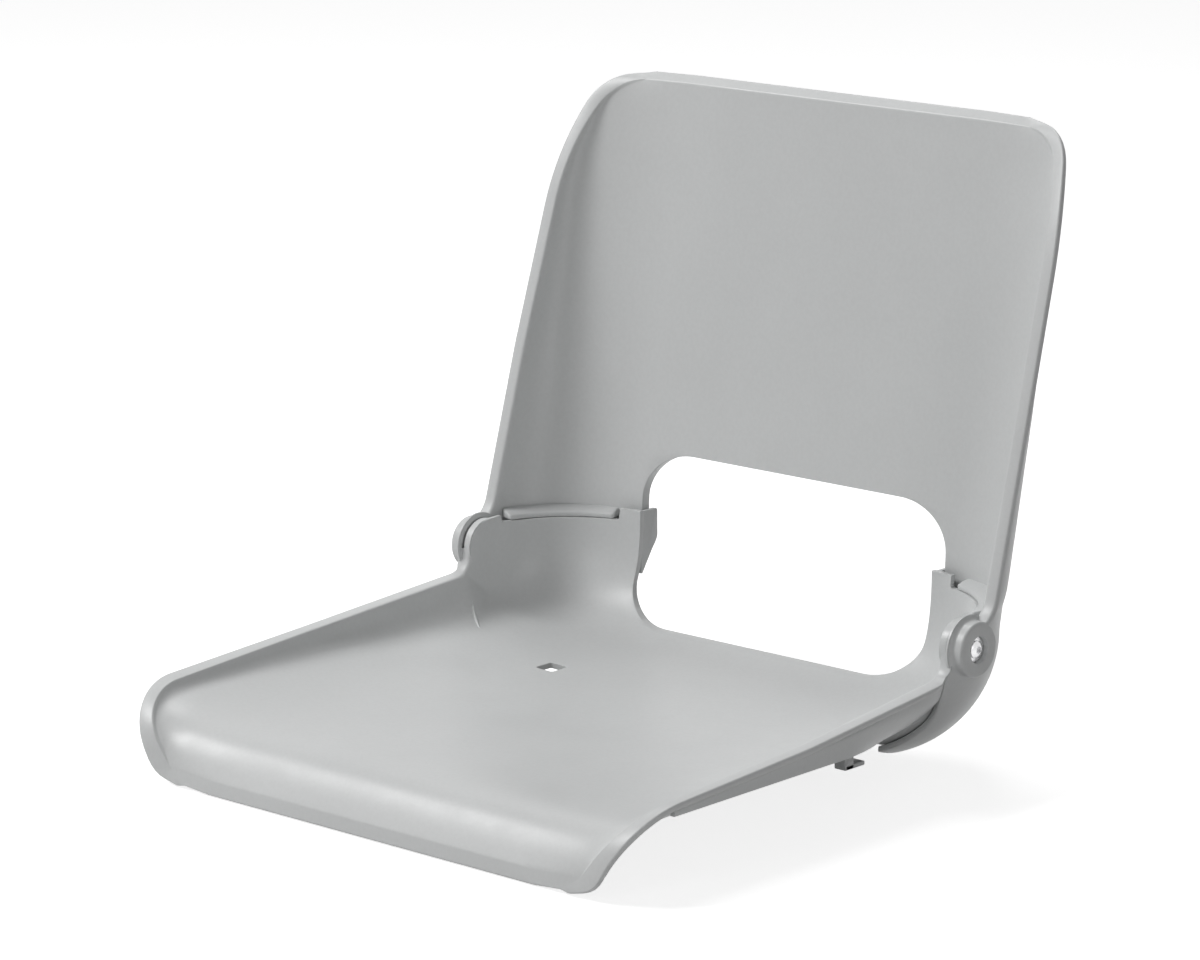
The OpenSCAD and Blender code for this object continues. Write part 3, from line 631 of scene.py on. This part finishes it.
# Side skirts: upright along the pan, turning into the ball-shaped corner at the rear
SKIRT_X, SKIRT_WALL, SKIRT_COLS = HALF_W - 3, 0.9 * PAN_WALL, 21
HIDDEN_WALL, BALL_SKIRT_WALL = 1.3, 2.2

# Groove under the lip: depths below the skirt's top, and how far the skirt stands in there
GROOVE = [(0.0, 2.2), (2.4, 2.2), (3.0, 0.9), (3.8, 0.25), (4.8, 0.0)]


def skirt_flat(y, dx):
    slope = (SEAT_LIP[2][2] - SEAT_LIP[4][2]) / (SEAT_LIP[2][1] - SEAT_LIP[4][1])
    top = SEAT_LIP[4][2] + (y - SEAT_LIP[4][1]) * slope - LIP_DEPTH / 2
    zs = [top - d for d, _ in GROOVE]
    zs += list(np.linspace(zs[-1], -SKIRT_DROP, SKIRT_COLS + 2 - len(GROOVE))[1:])
    ins = [i if dx == 0 else 0 for _, i in GROOVE] + [0] * (SKIRT_COLS + 1 - len(GROOVE))
    return np.array([(SKIRT_X - dx - i, y, z) for i, z in zip(ins, zs)])


def step_at(r, swing):
    step_r = SEAT_CUT_Y / math.cos(math.radians(STEP_ANGLE))
    return (-math.degrees(math.acos(SEAT_CUT_Y / r)) if r < step_r else STEP_ANGLE) + swing


SKIRT_TOP, SKIRT_FOOT = 20.4, 70


def skirt_ball(ball_r, swing):
    """Column of the skirt on the ball, between two angles from the hinge axis."""
    out = []
    for k in range(SKIRT_COLS + 1):
        t = math.radians(mix(SKIRT_TOP, SKIRT_FOOT, k / SKIRT_COLS))
        r = ball_r * math.sin(t)
        a = math.radians(step_at(r, swing))
        out.append((BALL_X + ball_r * math.cos(t), r * math.cos(a), r * math.sin(a)))
    return np.array(out)


def skirt_loop(outer, inner):
    pts = list(outer[:-1]) + fillet(outer[-2], outer[-1], inner[-1], 1.2, 4)
    pts += fillet(outer[-1], inner[-1], inner[-2], 0.8, 4) + list(inner[-2::-1])
    return np.array(pts)


loops = []
front, bend = -0.875 * PAN_REACH, -0.4 * PAN_REACH
for j in range(12):
    y = mix(front, bend, j / 12)
    loops.append(skirt_loop(skirt_flat(y, 0), skirt_flat(y, SKIRT_WALL)))
for j in range(25):
    f = j / 24
    y = mix(bend, SEAT_CUT_Y, 0.8 * f)
    w = ease(f)
    outside = mix(skirt_flat(y, 0), skirt_ball(CORNER_R, 0), w)
    inside = mix(skirt_flat(y, mix(SKIRT_WALL, HIDDEN_WALL, w)), skirt_ball(CORNER_R - HIDDEN_WALL, 0), w)
    loops.append(skirt_loop(outside, inside))
for s in (0.6, 1, 5, 9, 13, 17, 21, 26):
    loops.append(skirt_loop(skirt_ball(SEAT_BALL_R, s), skirt_ball(SEAT_BALL_R - BALL_SKIRT_WALL, s)))
loops = np.array(loops)
skirt = make_object("skirt_r", loops.reshape(-1, 3), tube_faces(*loops.shape[:2]))


# Cheeks beside the ears
CHEEK_BORE, CHEEK_BASE = 4.5, 188.4
cheek = revolve("cheek_r", [(CHEEK_BORE, CHEEK_BASE), (EAR_R, CHEEK_BASE), (EAR_R, 192.9),
                            (EAR_R - 0.5, 193.45), (0.72 * EAR_R, CHEEK_FACE_X),
                            (CHEEK_BORE, CHEEK_FACE_X)])

# Plate that closes the pocket beside the window
PLATE_TOP = 0.97 * UPSTAND_H
outline = rounded([(66.6, PLATE_TOP), (81.4, PLATE_TOP), (81.4, 1.0), (76.2, -5.8), (66.9, -20.0),
                   (65.8, -20.0)], [0, 1.5, 3, 3, 0, 0])
plate = prism("plate_r", outline, "x", WINDOW_HALF + 0.05, WINDOW_HALF + 3)
soften(plate, 0.3)

# Hook lug: an upright with a foot that points to the rear
LUG_INNER, LUG_OUTER, LUG_LOW = 153, 161, -66
upright = rounded([(-68.2, LUG_LOW), (-60.2, LUG_LOW), (-60.2, -50.5), (-68.2, -50.5)], [1, 0, 0, 0])
foot = rounded([(-67, LUG_LOW), (-50.2, LUG_LOW), (-50.2, -63.4), (-67, -63.4)], [0, 0.8, 0.8, 0])
lug_a = soften(prism("lug_a", upright, "x", LUG_INNER, LUG_OUTER), 0.4)
lug_b = soften(prism("lug_b", foot, "x", LUG_INNER, LUG_OUTER), 0.4)
trim = both_sides("seat_sides", [skirt, cheek, plate, lug_a, lug_b])
finish_piece(trim, "seat", shell_mat)

# Underside: bosses and ribs that follow the pan
middle = seat_grid[:, -1]
line = np.array([(p[1], p[2] - PAN_WALL / 2) for p in middle if p[1] < UPSTAND_Y / 3])
line = line[np.argsort(line[:, 0])]


def pan_mid(y):
    return float(np.interp(y, line[:, 0], line[:, 1]))


under = []
rib_low, rib_front, rib_rear = -0.97 * HINGE_Z, -0.82 * PAN_REACH, -0.1 * PAN_REACH
ys = np.linspace(rib_front, rib_rear, 30)
RIB_HALF = 1.3
for s in (-1, 1):
    pts = [(rib_rear, rib_low + 2), (rib_rear - 4, rib_low), (rib_front + 10, rib_low),
           (rib_front, rib_low + 5)]
    pts += [(y, pan_mid(y)) for y in ys]
    x = s * MOUNT_PITCH / 2
    under.append(soften(prism("rib", pts, "x", x - RIB_HALF, x + RIB_HALF), 0.35))
    y = -HINGE_Y + s * MOUNT_PITCH / 2
    pts = [(y - RIB_HALF, rib_low), (y + RIB_HALF, rib_low), (y + RIB_HALF, pan_mid(y)),
           (y - RIB_HALF, pan_mid(y))]
    under.append(soften(prism("rib", pts, "x", -MOUNT_PITCH / 2, MOUNT_PITCH / 2), 0.35))
BORE_R, BOSS_R, BOSS_STEPS = 4.4, 9.0, 64
for sx in (-1, 1):
    for sy in (-1, 1):
        cx, cy = sx * MOUNT_PITCH / 2, -HINGE_Y + sy * MOUNT_PITCH / 2
        top = pan_mid(cy)
        profile = [(BORE_R, -HINGE_Z), (BOSS_R - 0.5, -HINGE_Z), (BOSS_R, -HINGE_Z + 0.5),
                   (BOSS_R, top - 3), (10.2, top - 1.2), (11.5, top), (BORE_R, top)]
        turns = [2 * math.pi * k / BOSS_STEPS for k in range(BOSS_STEPS)]
        verts = [(cx + r * math.cos(a), cy + r * math.sin(a), z) for a in turns for r, z in profile]
        under.append(make_object("boss", verts, tube_faces(BOSS_STEPS, len(profile), True)))
ribs = merged("seat_underside", under)
finish_piece(ribs, "seat", shell_mat)


# Backrest
def wrap_lead_at(r):
    x = min(1.0, max(0.0, (r - 1.2 * EAR_R) / (0.42 * BACK_BALL_R)))
    return WRAP_LEAD * (1 - x) ** 2


def wrap_point(x, r, f):
    a = math.radians(-f * (WRAP_SWEEP + wrap_lead_at(r)))
    return (x, r * math.cos(a), r * math.sin(a))


def wrap_row(f):
    t0 = math.asin(HUB_R / BACK_BALL_R)
    hub = np.array(wrap_point(BALL_X + BACK_BALL_R * math.cos(t0), HUB_R, f))
    pts = []
    for k in range(ROUND_STEPS + 1):
        t = mix(1.4 * t0, math.pi / 2, k / ROUND_STEPS)
        pts.append(wrap_point(BALL_X + BACK_BALL_R * math.cos(t), BACK_BALL_R * math.sin(t), f))
    pts += [wrap_point(BALL_X * (1 - k / FLAT_STEPS), BACK_BALL_R, f) for k in range(1, FLAT_STEPS + 1)]
    lead = [mix(hub, np.array(pts[0]), k / RIM_STEPS) for k in range(RIM_STEPS)]
    return np.array([list(p) for p in lead] + [list(p) for p in pts])


back_upper = shell_rows(BACK_RIM, BACK_FLOOR, BACK_CORNER, BACK_DEPTH, BACK_SQUARE, BACK_COUNTS)
back_upper = eased(back_upper, sum(BACK_COUNTS[:2]) + 1, len(back_upper) - 10, 50)
back_stations = stations(BACK_COUNTS)
first_wrap = wrap_row(0)
join = np.array([mix(back_upper[-1], first_wrap, k / 4) for k in range(1, 4)])
wrap_rows = np.array([wrap_row(k / WRAP_ROWS) for k in range(WRAP_ROWS + 1)])
back_grid = np.concatenate([back_upper, join, wrap_rows])
back_lips = [rail_at(BACK_LIP, st) for st in back_stations]
hidden_x = RECESS_X - 1.2
last_lip = back_lips[-1]
for k in range(1, 4):
    p = back_grid[len(back_stations) - 1 + k][0]
    back_lips.append(mix(last_lip, np.array([hidden_x, 1.2 * p[1], 1.2 * p[2]]), k / 3))
for i in range(len(back_lips), len(back_grid)):
    p = back_grid[i][0]
    back_lips.append(np.array([hidden_x, 1.2 * p[1], 1.2 * p[2]]))
back_depths = [LIP_DEPTH if i < len(back_stations) else 0.8 for i in range(len(back_grid))]
back_half, cols = half_loops(back_grid, back_lips, BACK_WALL, back_depths, 1, 6)
back_half = np.concatenate([round_end(back_half, cols, True, 1.2), back_half[1:-1],
                            round_end(back_half, cols, False, 1.0)])
back_loops = full_loops(back_half)
panel = make_object("back_panel", back_loops.reshape(-1, 3), shell_faces(back_loops, cols))

# Search tree of the panel, to set the window's flange against it
panel_bm = bmesh.new()
panel_bm.from_mesh(panel.data)
panel_tree = BVHTree.FromBMesh(panel_bm)
panel_bm.free()


def panel_y(x, z):
    """The panel's face that a ray to the rear meets first at x and z, in millimetres."""
    hit = panel_tree.ray_cast(Vector((x / 1000, 0.155, (z + HINGE_Z) / 1000)), Vector((0, 1, 0)))[0]
    return hit.y * 1000 - HINGE_Y if hit else None


window_w = WINDOW_HALF + WINDOW_STEP
STRIP_END = -2.0
arc = window_outline(window_w, WINDOW_TOP)
side_low = rounded([(window_w, 20), (window_w, STRIP_END), (WRAP_X, STRIP_END), (WRAP_X, -150)],
                   [0, 2.5, 5, 0], 6)
carve(panel, [prism("cut", reflected(side_low[::-1] + arc), "y", -150, 150)])
soften(panel, 0.6)
finish_piece(panel, "backrest", shell_mat)
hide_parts("backrest_shell")

# Flange round the back of the window, a rounded bead set against the panel
path = [(window_w, z) for z in np.linspace(STRIP_END + 3, arc[0][1], 12)[:-1]] + arc
pts = np.array(reflected(path))
keep = [0]
for k in range(1, len(pts)):
    if np.linalg.norm(pts[k] - pts[keep[-1]]) > 0.4:
        keep.append(k)
pts = pts[keep]
dense = []
for k in range(len(pts) - 1):
    steps = max(1, int(np.linalg.norm(pts[k + 1] - pts[k]) / 4))
    dense += [mix(pts[k], pts[k + 1], j / steps) for j in range(steps)]
dense.append(pts[-1])
dense = np.array(dense)
FLANGE_DEEP, FLANGE_W = 3.6, 3.0
flange_end = BACK_WALL + FLANGE_DEEP
section = rounded([(-0.15, 0.9), (-0.15, flange_end), (FLANGE_W, flange_end), (FLANGE_W, 0.9)],
                  [0, 1.0, 1.0, 0], 4)
verts = []
for k, (x, z) in enumerate(dense):
    t = unit(dense[min(k + 1, len(dense) - 1)] - dense[max(k - 1, 0)])
    out = np.array([t[1], -t[0]])
    if out @ np.array([x, z - 20]) < 0:
        out = -out
    y0 = panel_y(x + out[0] * 1.5, z + out[1] * 1.5)
    for a, b in section:
        verts.append((x + out[0] * a, y0 + b, z + out[1] * a))
flange = make_object("window_flange", verts, tube_faces(len(dense), len(section)))
finish_piece(flange, "backrest", shell_mat)


# Ears with a flat recess for the washer and screw
def ball_x_at(r, ball_r):
    return BALL_X + math.sqrt(ball_r * ball_r - r * r)


EDGE_R, FILLET_R = 1.8, 3.0
profile = [(5.0, EAR_FACE_X), (5.0, RECESS_X), (RECESS_R, RECESS_X), (RECESS_R, HALF_W - 0.5),
           (RECESS_R + 0.15, HALF_W - 0.15), (RECESS_R + 0.5, HALF_W)]
profile += [(EAR_R - EDGE_R + EDGE_R * math.sin(a), HALF_W - EDGE_R + EDGE_R * math.cos(a))
            for a in np.linspace(0, math.pi / 2, 7)]
foot_x = ball_x_at(EAR_R + FILLET_R, CORNER_R)
profile += [(EAR_R + FILLET_R - FILLET_R * math.sin(a), foot_x + FILLET_R - FILLET_R * math.cos(a) - 0.1)
            for a in np.linspace(math.pi / 2, 0, 7)]
profile += [(EAR_R + FILLET_R, foot_x - 1.5), (EAR_R, 194.8), (EAR_R - 1, EAR_FACE_X)]
ear = revolve("ear_r", profile, 128)


TAB_X, TAB_Y = 120, -3


def tab_solid(name):
    """Stop tab: a short curved rib with a bevelled front edge and rounded ends."""
    r0, low, top = UPSTAND_Y + 3, NOTCH_Z + 0.3, NOTCH_Z + 6.2
    shape = rounded([(r0, low), (r0 + 10.1, low), (r0 + 10.1, top), (r0 + 5.0, low + 4.9), (r0, low + 2.9)],
                    [0.4, 0, 0, 2.5, 0.9], 4)
    mid = (r0 + 4.5, low + 2.0)
    a0, a1, r_end = 17.0, 74.5, 2.2
    rings = [(a0 + math.degrees(r_end / r0) * (1 - math.sin(math.pi / 2 * (1 - k / 6))),
              1 - 0.42 * (1 - math.cos(math.pi / 2 * (1 - k / 6)))) for k in range(7)]
    rings += [(mix(a0 + 2, a1 - 2, k / 30), 1.0) for k in range(1, 30)]
    rings += [(a0 + a1 - a, s) for a, s in rings[6::-1]]
    verts = []
    for angle, scale in rings:
        a = math.radians(angle)
        for r, z in shape:
            rr, zz = mid[0] + (r - mid[0]) * scale, mid[1] + (z - mid[1]) * scale
            verts.append((TAB_X + rr * math.cos(a), TAB_Y + rr * math.sin(a), zz))
    return make_object(name, verts, tube_faces(len(rings), len(shape)))


ears = both_sides("back_ears", [ear, tab_solid("tab_r")])
finish_piece(ears, "backrest", shell_mat)

# Hardware keeps its solids and gets its metal or nylon
for name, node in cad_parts.items():
    if name in ("seat_shell", "backrest_shell"):
        continue
    mat = steel_mat
    if name.startswith("thrust"):
        mat = nylon_mat
    elif "insert" in name:
        mat = brass_mat
    node.data.materials.clear()
    node.data.materials.append(mat)

# Floor, world, lamps and camera
scene = bpy.context.scene


def either(nodes, links, first, second):
    """The larger of two outputs."""
    node = new_node(nodes, "ShaderNodeMath", {}, operation="MAXIMUM")
    links.new(first, node.inputs[0])
    links.new(second, node.inputs[1])
    return node.outputs["Value"]


def picked(nodes, links, share, first, second):
    """Mixes two shaders, the second where the share is one."""
    node = nodes.new("ShaderNodeMixShader")
    links.new(share, node.inputs["Fac"])
    links.new(first, node.inputs[1])
    links.new(second, node.inputs[2])
    return node.outputs["Shader"]


FLOOR_Z = cad_box[0][2] - 0.0005
mesh = bpy.data.meshes.new("floor")
size = 6.0
corners = [(-size, -size), (size, -size), (size, size), (-size, size)]
mesh.from_pydata([(x, y, FLOOR_Z) for x, y in corners], [], [(0, 1, 2, 3)])
floor = bpy.data.objects.new("floor", mesh)
scene.collection.objects.link(floor)
mat, nodes, links, bsdf = node_material("floor_white")
bsdf.inputs["Base Color"].default_value = (0.6, 0.6, 0.6, 1)
bsdf.inputs["Roughness"].default_value = 0.9
bsdf.inputs["Specular IOR Level"].default_value = 0.1
glow = new_node(nodes, "ShaderNodeEmission", {"Color": (1, 1, 1, 1), "Strength": 0.8})
dark = new_node(nodes, "ShaderNodeEmission", {"Strength": 0.0})
rays = nodes.new("ShaderNodeLightPath").outputs
seen = either(nodes, links, rays["Is Camera Ray"], rays["Is Glossy Ray"])
add = nodes.new("ShaderNodeAddShader")
links.new(bsdf.outputs["BSDF"], add.inputs[0])
links.new(picked(nodes, links, seen, dark.outputs["Emission"], glow.outputs["Emission"]), add.inputs[1])
links.new(add.outputs["Shader"], nodes["Material Output"].inputs["Surface"])
floor.data.materials.append(mat)

world = bpy.data.worlds.new("studio")
scene.world = world
world.use_nodes = True
nodes, links = world.node_tree.nodes, world.node_tree.links
back = nodes["Background"]
back.inputs["Color"].default_value = (1, 1, 1, 1)
back.inputs["Strength"].default_value = 0.11
white = new_node(nodes, "ShaderNodeBackground", {"Color": (1, 1, 1, 1), "Strength": 1.0})
rays = nodes.new("ShaderNodeLightPath").outputs
shiny = either(nodes, links, rays["Is Glossy Ray"], rays["Is Transmission Ray"])
seen = either(nodes, links, rays["Is Camera Ray"], shiny)
sky = picked(nodes, links, seen, back.outputs["Background"], white.outputs["Background"])
links.new(sky, nodes["World Output"].inputs["Surface"])


def lamp(name, position, target, size, watts):
    data = bpy.data.lights.new(name, "AREA")
    data.shape = "DISK"
    data.size = size
    data.energy = watts
    obj = bpy.data.objects.new(name, data)
    obj.location = position
    obj.rotation_euler = (Vector(target) - Vector(position)).to_track_quat("-Z", "Y").to_euler()
    scene.collection.objects.link(obj)


lamp("key", (-1.8, -1.5, 2.3), (0, 0, 0.1), 1.1, 61)
lamp("front", (0.1, -3.0, 0.9), (0, 0.05, 0.15), 0.9, 7)
lamp("side", (2.6, -0.9, 0.8), (0.2, 0, 0), 1.0, 7)
lamp("top", (-0.7, 0.8, 2.2), (0, 0, 0.05), 1.1, 18)

cam = bpy.data.cameras.new("photo")
cam.sensor_width = 36
cam.lens = 146.94
cam.clip_end = 50
camera = bpy.data.objects.new("photo", cam)
camera.location = (1.89601, -2.01633, 0.8052)
camera.rotation_euler = (Euler((math.pi / 2 - 0.22876, 0, 0.7447)).to_matrix()
                         @ Matrix.Rotation(-0.00997, 3, "Z")).to_euler()
scene.collection.objects.link(camera)
scene.camera = camera
scene.view_settings.view_transform = "Standard"
